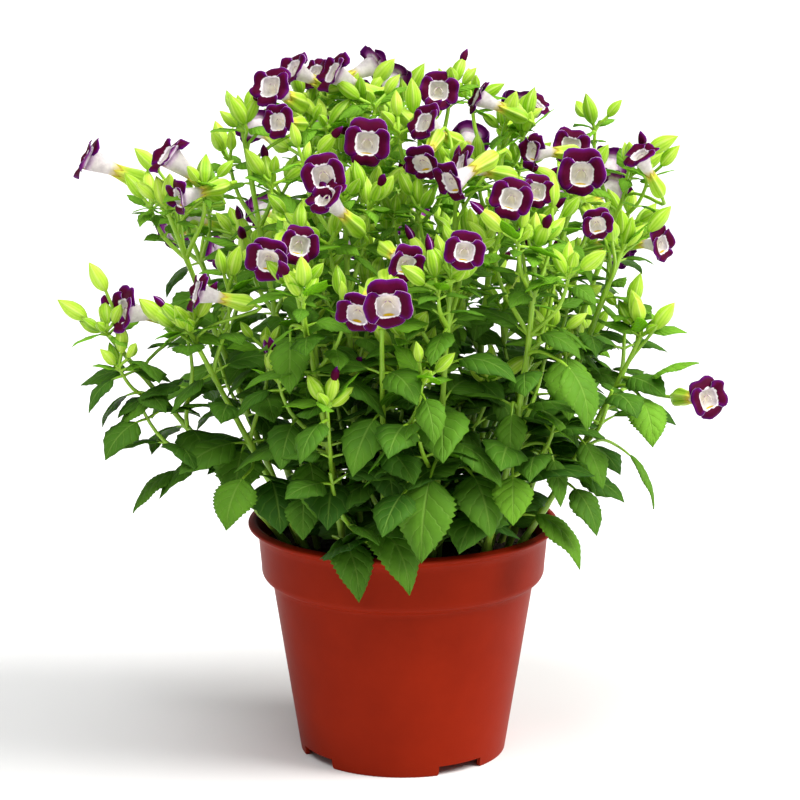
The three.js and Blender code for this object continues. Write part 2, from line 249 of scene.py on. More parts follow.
bm = bmesh.new()
corners = [bm.verts.new((radius, 0, height)) for radius, height in pot_profile()]
edges = [bm.edges.new(pair) for pair in zip(corners, corners[1:])]
bmesh.ops.spin(
    bm, geom=corners + edges, cent=(0, 0, 0), axis=(0, 0, 1), angle=tau, steps=POT_STEPS, use_merge=True
)
bmesh.ops.remove_doubles(bm, verts=bm.verts, dist=0.001)
feet = bmesh.ops.extrude_face_region(bm, geom=[face for face in bm.faces if in_foot(face)])
foot_corners = [item for item in feet["geom"] if isinstance(item, bmesh.types.BMVert)]
bmesh.ops.translate(bm, vec=(0, 0, -FOOT_HEIGHT), verts=foot_corners)
bmesh.ops.scale(bm, vec=(FOOT / wall_radius(FOOT_HEIGHT),) * 2 + (1,), verts=foot_corners)
bmesh.ops.delete(bm, geom=[face for face in bm.faces if in_foot(face)], context="FACES_ONLY")
low_corners = [edge for edge in bm.edges if all(abs(corner.co.z) < 0.01 for corner in edge.verts)]
foot_ends = [edge for edge in low_corners if abs(turn_of(edge.verts[0].co) - turn_of(edge.verts[1].co)) < 0.1]
bmesh.ops.bevel(
    bm, geom=foot_ends, offset=1.6, segments=3, profile=0.5, affect="EDGES", material=-1
)
foot_rims = [edge for edge in bm.edges if all(corner.co.z < 0.01 for corner in edge.verts)]
bmesh.ops.bevel(
    bm,
    geom=[edge for edge in foot_rims if len(edge.link_faces) == 2 and edge.calc_face_angle(0) > 1],
    offset=0.35,
    segments=2,
    profile=0.5,
    affect="EDGES",
    material=-1,
)
bmesh.ops.recalc_face_normals(bm, faces=bm.faces)

pot_material, nodes, links, shader = new_material("red_brown_plastic")
place = node(nodes, "ShaderNodeTexCoord").outputs["Object"]
clouds = node(nodes, "ShaderNodeTexNoise", Scale=28.0, Detail=5.0, Roughness=0.6)
grain = node(nodes, "ShaderNodeTexNoise", Scale=900.0, Detail=2.0)
scuffs = node(nodes, "ShaderNodeTexNoise", Scale=60.0, Detail=8.0, Roughness=0.75)
for texture in (clouds, grain, scuffs):
    links.new(place, texture.inputs["Vector"])
body_colour = ramp(clouds.outputs["Fac"], [(0.3, (0.210, 0.0115, 0.0020)), (0.7, (0.250, 0.0145, 0.0026))])
dusty = ramp(scuffs.outputs["Fac"], [(0.62, (0, 0, 0)), (0.78, (1, 1, 1))])
dusty_share = math_node("MULTIPLY", dusty, 0.12)
colour = blend_colours(dusty_share, body_colour, (0.34, 0.05, 0.022))
links.new(colour, shader.inputs["Base Color"])
roughness = fade(scuffs.outputs["Fac"], 0.0, 1.0, 0.34, 0.5)
links.new(roughness, shader.inputs["Roughness"])
shader.inputs["Specular IOR Level"].default_value = 0.04
add_bump(shader, grain.outputs["Fac"], 0.12, 0.0004)
finish_piece(bm, "nursery_pot", [pot_material], ["pot"], smooth_angle=35)


# Potting soil: dark peat, filled to a finger's width under the lip, with a crumbly top.
# It reaches down to the pot's floor.
SOIL_EDGE = 106.0
SOIL_RISE = 3.0
SOIL_RINGS = 26
SOIL_STEPS = 90
SOIL_CRUMBLE = ((1.1, 0.12), (0.9, 0.4), (0.7, 0.9))
soil_radius = (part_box("potting_soil")[1] / MM).x

bm = bmesh.new()
bmesh.ops.create_circle(bm, cap_ends=False, radius=soil_radius, segments=SOIL_STEPS)
bmesh.ops.translate(bm, vec=(0, 0, SOIL_EDGE), verts=bm.verts)
rim = list(bm.edges)
for ring in range(1, SOIL_RINGS + 1):
    grown = bmesh.ops.extrude_edge_only(bm, edges=rim)["geom"]
    moved = [item for item in grown if isinstance(item, bmesh.types.BMVert)]
    rim = [item for item in grown if isinstance(item, bmesh.types.BMEdge)]
    scale = max((SOIL_RINGS - ring) / (SOIL_RINGS - ring + 1), 0.02)
    bmesh.ops.scale(bm, vec=(scale, scale, 1), verts=moved)
bmesh.ops.contextual_create(bm, geom=rim)
for vert in bm.verts:
    spread = Vector((vert.co.x, vert.co.y, 0)).length / soil_radius
    crumbs = sum(depth * noise.noise(vert.co * fineness) for depth, fineness in SOIL_CRUMBLE)
    vert.co.z += SOIL_RISE * (1 - spread**2) + crumbs * (1 - spread**8)
outer = [edge for edge in bm.edges if edge.is_boundary]
for radius, height in ((BAND_BOTTOM[0] - 2.4, 98), (SHOULDER[0] - 2.4, 89), (wall_radius(8) - 2.4, 7.3)):
    grown = bmesh.ops.extrude_edge_only(bm, edges=outer)["geom"]
    for vert in (item for item in grown if isinstance(item, bmesh.types.BMVert)):
        flat = Vector((vert.co.x, vert.co.y)).normalized() * radius
        vert.co = (flat.x, flat.y, height)
    outer = [item for item in grown if isinstance(item, bmesh.types.BMEdge)]
bmesh.ops.contextual_create(bm, geom=outer)
bmesh.ops.recalc_face_normals(bm, faces=bm.faces)

soil_material, nodes, links, shader = new_material("dark_peat")
place = node(nodes, "ShaderNodeTexCoord").outputs["Object"]
lumps = node(nodes, "ShaderNodeTexVoronoi", Scale=420.0)
fibres = node(nodes, "ShaderNodeTexNoise", Scale=260.0, Detail=8.0, Roughness=0.7)
for texture in (lumps, fibres):
    links.new(place, texture.inputs["Vector"])
peat = [(0.25, (0.006, 0.004, 0.003)), (0.55, (0.030, 0.019, 0.012)), (0.8, (0.085, 0.052, 0.030))]
links.new(ramp(fibres.outputs["Fac"], peat), shader.inputs["Base Color"])
shader.inputs["Roughness"].default_value = 0.95
shader.inputs["Specular IOR Level"].default_value = 0.2
height = math_node("ADD", lumps.outputs["Distance"], fibres.outputs["Fac"])
add_bump(shader, height, 0.9, 0.0015)
finish_piece(bm, "peat_soil", [soil_material], ["potting_soil"], smooth_angle=60)

# Soil crumbs: loose lumps of peat and a few grains of pale perlite on top of the soil.
CRUMBS = 260
luck = random.Random(SEED)
bm = bmesh.new()
for crumb in range(CRUMBS):
    size = luck.uniform(0.7, 2.1)
    reach = (soil_radius - 3) * luck.random() ** 0.5
    turn = luck.uniform(0, tau)
    height = SOIL_EDGE + SOIL_RISE * (1 - (reach / soil_radius) ** 2) + 0.3 * size
    spot = Matrix.Translation((reach * cos(turn), reach * sin(turn), height))
    shape = Matrix.Diagonal((size * luck.uniform(0.7, 1.5), size * luck.uniform(0.6, 1.1), size * 0.7, 1))
    made = bmesh.ops.create_icosphere(
        bm, subdivisions=1, radius=1, matrix=spot @ Matrix.Rotation(luck.uniform(0, tau), 4, "Z") @ shape
    )
    for vert in made["verts"]:
        vert.co += 0.25 * size * noise.noise_vector(vert.co)
    pale = crumb % 9 == 0
    for face in {face for vert in made["verts"] for face in vert.link_faces}:
        face.material_index = int(pale)

perlite_material, nodes, links, shader = new_material("perlite")
place = node(nodes, "ShaderNodeTexCoord").outputs["Object"]
pores = node(nodes, "ShaderNodeTexNoise", Scale=900.0, Detail=4.0)
links.new(place, pores.inputs["Vector"])
pale_stops = [(0.35, (0.30, 0.27, 0.22)), (0.65, (0.62, 0.59, 0.52))]
links.new(ramp(pores.outputs["Fac"], pale_stops), shader.inputs["Base Color"])
shader.inputs["Roughness"].default_value = 0.9
finish_piece(bm, "soil_crumbs", [soil_material, perlite_material], smooth_angle=40)


# Stems: two dozen squarish green stems that fan out of the soil, each leaning a share of the way before its
# middle. They are juicy and smooth, with a slight swelling at each node, where a pair of leaves grows.
STEM_DEPTH = 9.0
STEMS = [
    ((-47, -15), (-142, -52, 225), 0.5),
    ((-41, -26), (-101, -74, 231), 0.5),
    ((-48, -5), (-113, -44, 284), 0.5),
    ((-41, -13), (-78, -14, 318), 0.5),
    ((-27, -51), (-49, -108, 256), 0.3),
    ((-31, 4), (-48, 26, 320), 0.4),
    ((-17, -6), (-21, 6, 328), 0.3),
    ((-20, -36), (-28, -66, 292), 0.5),
    ((-9, -50), (-10, -108, 240), 0.5),
    ((3, -16), (8, -30, 320), 0.5),
    ((13, -51), (22, -103, 262), 0.5),
    ((17, -29), (25, -62, 294), 0.5),
    ((27, -7), (50, 10, 314), 0.5),
    ((35, -43), (62, -84, 272), 0.9),
    ((40, -24), (82, -32, 290), 0.5),
    ((46, -2), (112, 4, 292), 0.5),
    ((47, -29), (115, -42, 222), 0.6),
    ((48, -16), (106, -30, 262), 0.5),
    ((-42, 21), (-112, 56, 262), 0.5),
    ((-24, 38), (-62, 106, 240), 0.6),
    ((-8, 26), (-20, 62, 306), 0.4),
    ((7, 45), (12, 118, 232), 0.6),
    ((27, 35), (66, 98, 258), 0.6),
    ((43, 17), (112, 52, 250), 0.6),
]
STEM_RADIUS = 1.9
SHOOT_RADIUS = 1.2
STALK_RADIUS = 0.75
LEAF_STALK_RADIUS = 0.75
LEAF_STALK_TAPER = [LEAF_STALK_RADIUS, 0.9 * LEAF_STALK_RADIUS, 0.7 * LEAF_STALK_RADIUS, 0.35]
UP = Vector((0, 0, 1))


class Route:
    """A smooth line through space, with its place and direction at any share of its length."""

    def __init__(self, start, first, second, end, count=24):
        self.points = interpolate_bezier(start, first, second, end, count)

    def at(self, share):
        place = min(max(share, 0), 0.9999) * (len(self.points) - 1)
        step = int(place)
        return self.points[step].lerp(self.points[step + 1], place - step)

    def way(self, share):
        place = min(int(min(max(share, 0), 0.9999) * (len(self.points) - 1)), len(self.points) - 2)
        return (self.points[place + 1] - self.points[place]).normalized()

    def length(self):
        return sum((b - a).length for a, b in zip(self.points, self.points[1:]))


def stem_route(base, tip, lean):
    start = Vector((*base, SOIL_EDGE - STEM_DEPTH))
    end = Vector(tip)
    bend = start.lerp(end, lean)
    bend.z = (start.z + end.z) / 2
    return Route(start, start.lerp(bend, 2 / 3), end.lerp(bend, 2 / 3), end)


def direction(turn, tilt):
    flat = cos(radians(tilt))
    return Vector((flat * sin(radians(turn)), -flat * cos(radians(turn)), sin(radians(tilt))))


def stalk_route(start, leaving, end, arriving):
    reach = 0.45 * (end - start).length
    return Route(start, start + leaving.normalized() * reach, end - arriving.normalized() * reach, end, 8)


# The square section that every stem, shoot and stalk is drawn with.
section = bpy.data.curves.new("stem_section", "CURVE")
section.dimensions = "2D"
section_line = section.splines.new("POLY")
SECTION_POINTS = 8
section_line.points.add(SECTION_POINTS - 1)
for index, spot in enumerate(section_line.points):
    angle = tau * index / SECTION_POINTS
    bulge = 1.06 if index % 2 else 0.96
    spot.co = (bulge * MM * cos(angle), bulge * MM * sin(angle), 0, 1)
section_line.use_cyclic_u = True
section_object = bpy.data.objects.new("stem_section", section)


def draw_lines(lines, name):
    """One mesh of tubes. Each line is its points and the half-thickness at each point, in millimetres."""
    curve = bpy.data.curves.new(name, "CURVE")
    curve.dimensions = "3D"
    curve.bevel_mode = "OBJECT"
    curve.bevel_object = section_object
    curve.use_fill_caps = True
    for points, thickness in lines:
        line = curve.splines.new("POLY")
        line.points.add(len(points) - 1)
        for spot, point, radius in zip(line.points, points, thickness):
            spot.co = (*(point * MM), 1)
            spot.radius = radius
    holder = bpy.data.objects.new(name, curve)
    bpy.context.scene.collection.objects.link(holder)
    bpy.context.scene.collection.objects.link(section_object)
    bpy.context.view_layer.update()
    graph = bpy.context.evaluated_depsgraph_get()
    mesh = bpy.data.meshes.new_from_object(holder.evaluated_get(graph))
    bpy.data.objects.remove(holder)
    bpy.context.scene.collection.objects.unlink(section_object)
    return mesh


green_material, nodes, links, shader = new_material("stem_green")
place = node(nodes, "ShaderNodeTexCoord").outputs["Object"]
streaks = node(nodes, "ShaderNodeTexNoise", Scale=120.0, Detail=4.0)
stretch = node(nodes, "ShaderNodeMapping", Scale=(1.0, 1.0, 0.12))
links.new(place, stretch.inputs["Vector"])
links.new(stretch.outputs[0], streaks.inputs["Vector"])
parts = node(nodes, "ShaderNodeSeparateXYZ")
links.new(place, parts.inputs[0])
rise = fade(parts.outputs["Z"], 0.10, 0.32)
by_height = ramp(rise,
    [(0.0, (0.190, 0.260, 0.040)), (0.2, (0.240, 0.450, 0.024)), (1.0, (0.380, 0.640, 0.045))],
)
streaked = ramp(streaks.outputs["Fac"], [(0.3, (0.78, 0.82, 0.7)), (0.7, (1.12, 1.1, 1.0))])
links.new(blend_colours(1.0, by_height, streaked, "MULTIPLY"), shader.inputs["Base Color"])
shader.inputs["Roughness"].default_value = 0.42
shader.inputs["Subsurface Weight"].default_value = 0.15
shader.inputs["Subsurface Radius"].default_value = (0.4, 0.8, 0.1)
shader.inputs["Subsurface Scale"].default_value = 0.002
add_bump(shader, streaks.outputs["Fac"], 0.25, 0.0005)


# Leaves: thin, toothed, pointed blades on short stalks, in pairs that turn a quarter from node to node.
# Old ones low down are broad and deep green, young ones near the top are small and lime. The deep green
# low down is partly the colour of old leaves and partly painted shade for the dim inside of the bush. Veins
# sink into the upper side. BIG_LEAVES are the widest ones, and FRONT_LEAVES the next: where the stalk leaves
# the stem, then the turn, rise, droop, length, width, roll and shade.
LEAF_STALK_SHARE = 0.2
VEIN_PAIRS = 5.5
BIG_LEAVES = [
    ((-18, -62, 132), 35, 20, 110, 52, 26, 0, 0.35),
    ((-34, -60, 127), 25, 15, 110, 46, 22, 0, 0.25),
    ((15, -86, 170), -15, -25, 70, 52, 29, 0, 0.4),
    ((57, -46, 134), 60, 15, 100, 46, 22, 0, 0.6),
    ((116, -50, 200), 65, 45, 40, 32, 21, 0, 0.85),
    ((113, -54, 197), 20, -10, 80, 32, 20, 0, 0.8),
    ((72, -90, 222), 40, -10, 90, 42, 23, 0, 0.45),
    ((106, -24, 163), 80, -30, 60, 38, 13, 0, 0.45),
    ((-114, -50, 196), -70, -5, 60, 32, 16, 0, 0.4),
    ((-104, -34, 154), -75, 0, 70, 38, 20, 0, 0.3),
    ((-74, -70, 162), -30, -15, 70, 34, 24, 0, 0.5),
    ((40, 90, 176), 165, 10, 90, 48, 28, 0, 0.4),
    ((-30, 84, 168), -165, 10, 90, 48, 28, 0, 0.3),
    ((-98, 40, 178), -110, 10, 80, 42, 24, 0, 0.4),
]

FRONT_LEAVES = [
    ((-46, -64, 170), 12, -25, 55, 36, 20, -10, 0.40),
    ((-48, -66, 152), 0, -20, 65, 28, 17, 0, 0.25),
    ((14, -90, 192), -62, -10, 45, 42, 24, 35, 0.40),
    ((77, -66, 224), 5, -35, 50, 40, 22, 0, 0.62),
    ((52, -76, 197), -5, -30, 55, 32, 15, 10, 0.45),
    ((52, -84, 168), 0, -35, 50, 30, 19, 0, 0.80),
    ((30, -70, 164), 22, -5, 75, 44, 27, 0, 0.35),
    ((59, -72, 194), 55, 0, 55, 32, 18, -20, 0.55),
    ((84, -54, 176), 35, -20, 55, 32, 17, 0, 0.40),
    ((79, -52, 152), 40, -10, 70, 34, 18, 0, 0.30),
    ((70, -74, 174), 20, -35, 50, 30, 11, 0, 0.35),
    ((-77, -48, 170), -10, -10, 70, 34, 24, 0, 0.35),
    ((-53, -88, 236), 0, -30, 55, 34, 18, 0, 0.45),
]


def leaf_spine(base, turn, rise, droop, long, share):
    """A point on a leaf's midrib, and its slope there: an arc that bends down in one upright plane."""
    first = radians(rise)
    bend = radians(droop)
    slope = first - bend * share
    forward = long * (sin(first) - sin(slope)) / bend
    height = long * (cos(slope) - cos(first)) / bend
    return Vector(base) + direction(turn, 0) * forward + UP * height, slope


def sheet(columns, rows, place):
    """A grid of faces with its corners where place(across, along) says, and a UV map of those shares."""
    made = bmesh.new()
    uv = made.loops.layers.uv.new("along")
    bmesh.ops.create_grid(made, x_segments=columns, y_segments=rows, size=0.5)
    for face in made.faces:
        for loop in face.loops:
            loop[uv].uv = (loop.vert.co.x + 0.5, loop.vert.co.y + 0.5)
    for vert in made.verts:
        vert.co = place(vert.co.x + 0.5, vert.co.y + 0.5)
    return made


def add_sheet(bm, part, shade=0.0):
    """Moves one part's faces into a bigger piece, with one shade for all of them."""
    mesh = bpy.data.meshes.new("part")
    part.to_mesh(mesh)
    part.free()
    tint = mesh.attributes.new("shade", "FLOAT", "POINT")
    tint.data.foreach_set("value", [shade] * len(mesh.vertices))
    bm.from_mesh(mesh)
    bpy.data.meshes.remove(mesh)


def leaf_sheet(base, turn, rise, droop, long, wide, roll, columns, rows, wave, quilt=0.0):
    def place(across, along):
        share = LEAF_STALK_SHARE + (1 - LEAF_STALK_SHARE) * along
        centre, slope = leaf_spine(base, turn, rise, droop, long, share)
        tangent = direction(turn, 0) * cos(slope) + UP * sin(slope)
        side = direction(turn + 90, 0)
        side.rotate(Matrix.Rotation(radians(roll), 3, tangent))
        above = side.cross(tangent) * -1
        edge = 2 * across - 1
        half = 0.5 * wide * sin(pi * along**0.7)
        if 0 < along < 1:
            tooth = (along * rows) % 2
            half *= 1 + 0.055 * (1 if tooth < 1 else -1)
        lift = half * (0.30 * abs(edge) - 0.42 * edge * edge)
        lift += wave * wide * edge * edge * sin(tau * (1.7 * along + 0.3 * turn)) * sin(pi * along)
        puffed = abs(sin(VEIN_PAIRS * pi * (along - 0.31 * abs(edge))))
        lift += quilt * puffed * (1 - edge**4) * min(1, 8 * abs(edge))
        return centre + side * (edge * half) + above * lift

    return sheet(columns, rows, place)


def leaf_material(name, deep, fresh, gloss, veins):
    made, nodes, links, shader = new_material(name)
    uv = node(nodes, "ShaderNodeUVMap", uv_map="along")
    parts = node(nodes, "ShaderNodeSeparateXYZ")
    links.new(uv.outputs[0], parts.inputs[0])
    off_middle = math_node("ABSOLUTE", math_node("SUBTRACT", parts.outputs["X"], 0.5))
    along = parts.outputs["Y"]
    slanted = math_node("SUBTRACT", along, math_node("MULTIPLY", off_middle, 0.62))
    phase = math_node("MULTIPLY", slanted, VEIN_PAIRS * pi)
    rib = math_node("ABSOLUTE", math_node("SINE", phase))
    side_vein = fade(rib, 0.0, 0.30, 1.0, 0.0)
    midrib = fade(off_middle, 0.008, 0.035, 1.0, 0.0)
    vein = math_node("MAXIMUM", math_node("MULTIPLY", side_vein, 0.6),
                     midrib)
    place = node(nodes, "ShaderNodeTexCoord").outputs["Object"]
    mottle = node(nodes, "ShaderNodeTexNoise", Scale=70.0, Detail=4.0)
    cells = node(nodes, "ShaderNodeTexNoise", Scale=900.0, Detail=2.0)
    for texture in (mottle, cells):
        links.new(place, texture.inputs["Vector"])
    tint = node(nodes, "ShaderNodeAttribute", attribute_name="shade")
    wander = math_node("MULTIPLY", math_node("SUBTRACT", mottle.outputs["Fac"], 0.5), 0.5)
    share = math_node("ADD", tint.outputs["Fac"], wander)
    body = ramp(share, [(0.0, deep), (0.5, tuple((a + b) / 2 for a, b in zip(deep, fresh))), (1.0, fresh)])
    vein_colour = blend_colours(0.35, body, (0.36, 0.60, 0.10))
    vein_share = math_node("MULTIPLY", vein, veins)
    colour = blend_colours(vein_share, body, vein_colour)
    links.new(colour, shader.inputs["Base Color"])
    shader.inputs["Roughness"].default_value = gloss
    shader.inputs["Specular IOR Level"].default_value = 0.12
    quilt = math_node("SUBTRACT", math_node("MULTIPLY", rib, 0.6), vein)
    height = math_node("ADD", quilt, math_node("MULTIPLY", cells.outputs["Fac"], 0.25))
    add_bump(shader, height, 0.55, 0.0007)
    glow = node(nodes, "ShaderNodeBsdfTranslucent")
    links.new(blend_colours(0.4, colour, (0.35, 0.65, 0.01)), glow.inputs["Color"])
    both = node(nodes, "ShaderNodeMixShader", Fac=0.22)
    links.new(shader.outputs[0], both.inputs[1])
    links.new(glow.outputs[0], both.inputs[2])
    links.new(both.outputs[0], nodes["Material Output"].inputs["Surface"])
    return made


# The deep colours given first are partly an old leaf's dark green and partly painted shade for the inside of
# the bush.
upper_side = leaf_material("leaf_upper_side", (0.009, 0.056, 0.002), (0.190, 0.520, 0.008), 0.36, 0.7)
under_side = leaf_material("leaf_under_side", (0.035, 0.120, 0.010), (0.200, 0.460, 0.028), 0.60, 0.9)


def thicken(piece, thickness=0.35):
    shell = piece.modifiers.new("thickness", "SOLIDIFY")
    shell.thickness = thickness * MM
    shell.offset = 0
    shell.material_offset = 1
    shell.material_offset_rim = 0
    return piece


class Plant:
    """What grows on one stem: tubes, leaves, pods and petals, kept until the stem's pieces are made."""

    def __init__(self):
        self.lines = []
        self.leaves = bmesh.new()
        self.pods = bmesh.new()
        self.petals = bmesh.new()

    def tube(self, route, start, end, count=8, swell=()):
        shares = [step / count for step in range(count + 1)]
        thickness = [start + (end - start) * share for share in shares]
        for spot in swell:
            for step, share in enumerate(shares):
                thickness[step] *= 1 + 0.28 * exp(-(((share - spot) / 0.018) ** 2))
        self.lines.append(([route.at(share) for share in shares], thickness))

    def leaf_stalk(self, shape):
        spine = [leaf_spine(*shape, LEAF_STALK_SHARE * step / 2)[0] for step in range(3)]
        spine.append(leaf_spine(*shape, LEAF_STALK_SHARE + 0.05)[0])
        self.lines.append((spine, LEAF_STALK_TAPER))

    def leaf(self, base, turn, rise, droop, long, wide, roll, shade, columns=4, rows=12, wave=0.04):
        self.leaf_stalk((base, turn, rise, droop, long))
        blade = leaf_sheet(base, turn, rise, droop, long, wide, roll, columns, rows, wave)
        add_sheet(self.leaves, blade, shade)


plants = [Plant() for _ in STEMS]
routes = [stem_route(*stem) for stem in STEMS]


def nearest_stem(place):
    """The stem that passes nearest to a place and the share of the stem where it does, a little below it."""
    best = None
    for number, route in enumerate(routes):
        for step in range(4, 24):
            share = step / 24
            point = route.at(share)
            apart = (point - place).length + max(0, point.z - place.z)
            if best is None or apart < best[0]:
                best = (apart, number, share)
    return best[1:]


def join_to_stem(base, turn, rise):
    """Draws the stalk that carries a leaf from the nearest stem to the leaf's base."""
    base = Vector(base)
    number, share = nearest_stem(base)
    route = routes[number]
    if (route.at(share) - base).length > 1:
        leaving = route.way(share) + direction(turn, 0)
        stalk = stalk_route(route.at(share), leaving, base, direction(turn, rise))
        plants[number].tube(stalk, 1.3 * LEAF_STALK_RADIUS, LEAF_STALK_RADIUS)
    return plants[number]


for index, (base, turn, rise, droop, long, wide, roll, shade) in enumerate(BIG_LEAVES):
    join_to_stem(base, turn, rise).leaf_stalk((base, turn, rise, droop, long))
    bm = bmesh.new()
    add_sheet(bm, leaf_sheet(base, turn, rise, droop, long, wide, roll, 10, 28, 0.035, 0.5), shade)
    piece = finish_piece(bm, f"broad_leaf_{index + 1:02d}", [upper_side, under_side],
                         [f"leaf_{index + 1:02d}"])
    thicken(piece)
for base, turn, rise, droop, long, wide, roll, shade in FRONT_LEAVES:
    join_to_stem(base, turn, rise).leaf(base, turn, rise, droop, long, wide, roll, shade, 8, 22)


# Flowers and buds. A bud is a plump green pod with five raised ribs and a pointed tip: the calyx, closed.
# An open flower's calyx is longer and slimmer, with five teeth around the white tube and a yellow tint where
# the tube comes out. FLOWERS and MORE_FLOWERS give the stem, the share of it where the stalk starts, the
# middle of the face, its turn and tilt, and its size. BUDS are the same without the size.
FLOWERS = [
    (3, 0.90, (-153, -20, 306), -80, 25, 1.10),
    (3, 0.98, (-112, -50, 312), -70, 40, 1.08),
    (1, 0.82, (-134, -58, 238), -62, 12, 1.05),
    (2, 0.95, (-97, -82, 252), -75, 15, 0.90),
    (4, 0.95, (-64, -22, 341), -35, 25, 1.00),
    (5, 0.97, (-62, -117, 274), -15, -10, 1.00),
    (7, 0.90, (-34, -2, 345), -65, 30, 1.00),
    (8, 0.98, (-17, -64, 320), 0, 5, 1.05),
    (8, 0.88, (-37, -92, 309), -5, 0, 1.00),
    (9, 0.95, (-7, -138, 257), 0, -15, 1.10),
    (11, 0.97, (28, -122, 279), 5, 0, 0.86),
    (10, 0.92, (17, -28, 340), 5, 15, 0.90),
    (14, 0.95, (50, -96, 299), -10, 10, 0.95),
    (15, 0.95, (85, -50, 303), 5, 0, 1.08),
    (16, 0.94, (114, -30, 309), -60, 58, 0.80),
    (17, 0.62, (154, 14, 178), 30, 10, 1.00),
    (23, 0.96, (80, 122, 268), 150, 10, 1.00),
    (22, 0.97, (4, 140, 248), 180, -5, 1.05),
    (20, 0.97, (-74, 128, 254), -160, 5, 1.00),
    (21, 0.96, (-26, 84, 322), -170, 25, 1.00),
]
MORE_FLOWERS = [
    (3, 0.93, (-106, -64, 294), -60, -10, 0.85),
    (6, 0.96, (-54, 14, 345), -60, 30, 0.90),
    (6, 0.92, (-44, 34, 340), -50, 35, 0.90),
    (7, 0.96, (-14, 22, 346), 120, 20, 0.95),
    (8, 0.84, (-36, -97, 300), -50, 42, 0.95),
    (4, 0.90, (-60, -36, 326), -30, 10, 0.80),
    (10, 0.95, (10, -52, 328), -50, 30, 0.90),
    (12, 0.93, (9, -74, 312), -20, -25, 0.85),
    (13, 0.97, (36, -14, 335), -85, 25, 0.85),
    (13, 0.93, (67, 20, 326), 60, 50, 0.70),
    (15, 0.90, (62, -38, 312), -60, 5, 0.85),
    (15, 0.98, (82, -4, 309), 5, 20, 0.90),
    (12, 0.97, (27, -78, 312), -75, 15, 0.90),
    (12, 0.90, (22, -98, 307), -50, -20, 0.95),
    (14, 0.90, (63, -70, 298), 15, 5, 0.80),
    (18, 0.96, (126, -24, 264), 48, 5, 0.80),
    (5, 0.92, (-48, -106, 279), 18, 0, 0.88),
    (11, 0.92, (1, -112, 271), 25, -10, 0.85),
    (9, 0.90, (-21, -132, 252), -20, -20, 0.95),
    (18, 0.90, (92, -64, 281), 10, -10, 0.75),
    (19, 0.96, (-110, 74, 262), -125, 15, 1.00),
    (19, 0.86, (-118, 84, 252), -150, -10, 0.95),
    (21, 0.90, (-44, 88, 304), -140, 5, 0.95),
    (21, 0.98, (0, 60, 330), 150, 40, 0.90),
    (6, 0.86, (-76, 58, 310), -140, 15, 0.95),
    (23, 0.90, (56, 130, 250), 170, -10, 1.00),
    (24, 0.97, (114, 78, 248), 120, 10, 1.00),
    (24, 0.88, (112, 90, 240), 145, 0, 0.95),
    (13, 0.86, (60, 58, 320), 160, 20, 1.00),
    (13, 0.80, (34, 74, 300), 175, 5, 1.00),
    (16, 0.90, (108, 46, 280), 125, 10, 0.95),
    (16, 0.84, (106, 58, 290), 145, 15, 0.95),
    (22, 0.88, (-24, 132, 236), -165, -10, 0.90),
    (20, 0.88, (-96, 108, 236), -140, -5, 0.90),
    (7, 0.84, (-6, 46, 336), 175, 30, 0.95),
]
BUDS = [
    (1, 0.97, (-166, -54, 243), -80, 35),
    (1, 0.90, (-150, -58, 262), -60, 60),
    (2, 0.90, (-126, -66, 246), -70, 45),
    (3, 0.85, (-130, -26, 312), -70, 45),
    (4, 0.97, (-84, -26, 338), -60, 60),
    (7, 0.97, (-4, 8, 351), 70, 50),
    (10, 0.97, (4, -32, 347), -20, 85),
    (13, 0.95, (55, -14, 338), 40, 65),
    (13, 0.88, (66, 16, 334), 120, 50),
    (15, 0.90, (100, -14, 312), 60, 60),
    (16, 0.93, (134, -14, 316), 80, 30),
    (17, 0.93, (110, -44, 246), -30, 70),
    (17, 0.85, (131, -46, 240), 70, 55),
    (18, 0.90, (98, -60, 284), -10, 50),
    (18, 0.95, (130, -28, 284), 80, 50),
    (19, 0.95, (-132, 60, 282), -110, 50),
    (24, 0.95, (130, 62, 270), 110, 50),
    (20, 0.90, (-88, 118, 252), -140, 40),
    (22, 0.90, (30, 128, 254), 160, 45),
]
CALYX_MOUTH = 14.5
CALYX_BASE = 33.0
CALYX_RADIUS = 4.4
BUD_LENGTH = 18.0
BUD_RADIUS = 3.8
OPEN_CALYX = 1


def frame_at(place, turn, tilt, size, spin=0.0):
    """A matrix whose Z points the way of a flower or bud, with its X level."""
    out = direction(turn, tilt)
    level = direction(turn + 90, 0)
    axes = Matrix((level, out.cross(level), out)).transposed().to_4x4()
    return Matrix.Translation(place) @ axes @ Matrix.Rotation(radians(spin), 4, "Z") @ Matrix.Scale(size, 4)


def smooth_profile(stations, share):
    """A value between the stations [(share, value), ...], on a straight line from one to the next."""
    for (start, first), (end, second) in zip(stations, stations[1:]):
        if share <= end:
            part = (share - start) / (end - start)
            return first + (second - first) * part
    return stations[-1][1]


def rolled(columns, rows, place):
    """A sheet rolled round Z into a closed skin: its sides are welded and so are its ends."""
    made = sheet(columns, rows, place)
    bmesh.ops.remove_doubles(made, verts=made.verts, dist=0.02)
    bmesh.ops.recalc_face_normals(made, faces=made.faces)
    return made


POD = [(0.0, 0.0), (0.06, 0.30), (0.2, 0.78), (0.4, 1.0), (0.6, 0.93), (0.8, 0.55), (0.93, 0.2), (1.0, 0.0)]
KEELS = 5


def keel(around):
    """1 on a calyx's five ribs and 0 in the hollows between them."""
    return abs(cos(KEELS * pi * around))


def pod_sheet(length, radius, rib, bow):
    def place(around, along):
        angle = tau * around
        swell = radius * smooth_profile(POD, along) * (1 - rib + 2 * rib * keel(around))
        off = bow * sin(pi * along)
        return Vector((swell * cos(angle) + off, swell * sin(angle), -length * (1 - along)))

    return rolled(2 * KEELS, 8, place)


CALYX = [
    (0.0, 0.0),
    (0.04, 0.3),
    (0.15, 0.7),
    (0.32, 1.0),
    (0.5, 0.97),
    (0.7, 0.82),
    (0.86, 0.70),
    (1.0, 0.66),
]


